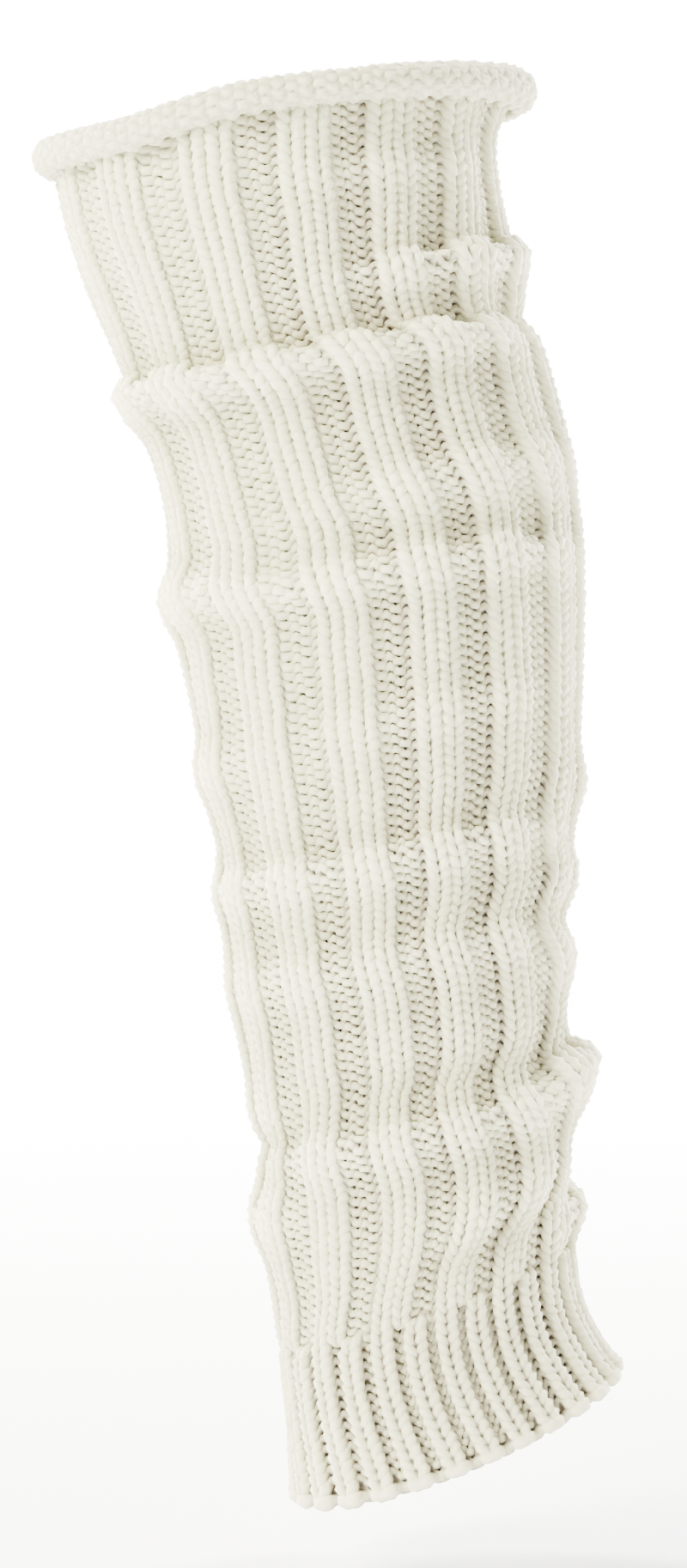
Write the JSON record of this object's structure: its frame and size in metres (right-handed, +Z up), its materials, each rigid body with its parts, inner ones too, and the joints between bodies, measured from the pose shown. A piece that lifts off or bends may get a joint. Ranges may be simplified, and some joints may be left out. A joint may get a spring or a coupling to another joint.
{
  "type": "leg warmer",
  "caption": "Hollow ribbed knit sleeve that keeps a lower leg warm, filled out and slouched as worn, with a rolled top edge and a narrow ribbed ankle cuff.",
  "frame": {"origin": "on the leg's own axis at the widest part of the calf, where the knit grips the wearer", "axes": "+Z up towards the knee, -Y to the front of the shin, +X the way the ankle leans"},
  "size_m": [0.1707, 0.1373, 0.416],
  "materials": {
    "rolled_edge_wool": "soft chunky wool, purl side out",
    "leg_wool": "soft chunky wool in two-by-two rib",
    "cuff_wool": "soft chunky wool in one-by-one rib"
  },
  "bodies": {
    "root": {"rolled_top_edge": "rolled_edge_wool", "ribbed_leg": "leg_wool", "ankle_cuff": "cuff_wool"}
  },
  "joints": []
}
